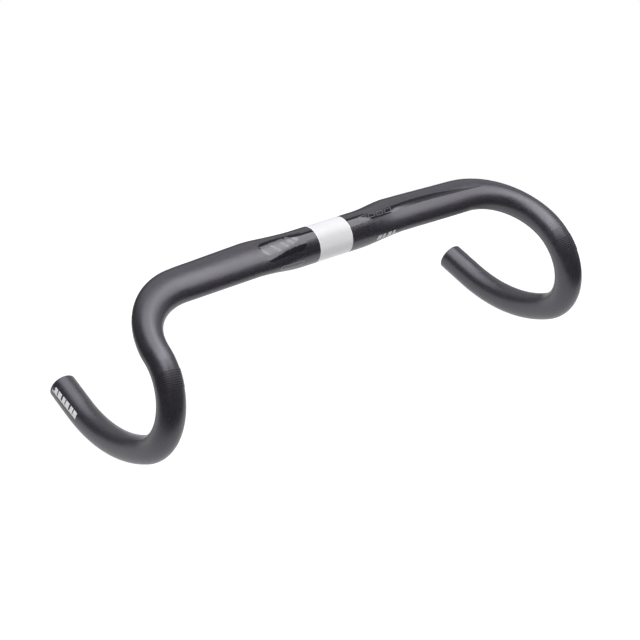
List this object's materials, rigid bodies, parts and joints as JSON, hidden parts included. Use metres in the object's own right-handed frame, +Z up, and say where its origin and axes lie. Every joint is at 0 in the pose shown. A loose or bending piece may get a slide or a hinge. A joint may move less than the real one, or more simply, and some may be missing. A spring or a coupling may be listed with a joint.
{
  "type": "drop handlebar",
  "caption": "Bare carbon road drop handlebar: round stem clamp zone with a white band, flattened tops, forward shoulders, compact hooks and open bar ends.",
  "frame": {"origin": "centre of the round zone that the stem clamps", "axes": "+X to the rider's left along the clamp, -Y forward in the direction of travel, +Y towards the rider, +Z up; the bar ends are level"},
  "size_m": [0.4626, 0.1471, 0.1501],
  "materials": {
    "carbon_matte": "matte",
    "carbon_raw": "matte",
    "band_white": "satin",
    "gloss_black": "gloss",
    "white_ink": "satin",
    "lever_grip": "fine ribs"
  },
  "bodies": {
    "root": {"centre_section": "carbon_matte", "right_drop": "carbon_matte", "left_drop": "carbon_matte", "clamp_reinforcement": "carbon_raw", "right_joint_ferrule": "carbon_raw", "left_joint_ferrule": "carbon_raw", "centre_band": "band_white", "right_badge_transfer": "gloss_black", "left_strip_transfer": "gloss_black", "right_front_mark": "gloss_black", "left_front_mark": "white_ink", "right_end_mark": "white_ink", "left_end_mark": "white_ink", "right_lever_scale": "lever_grip", "left_lever_scale": "lever_grip"}
  },
  "joints": []
}
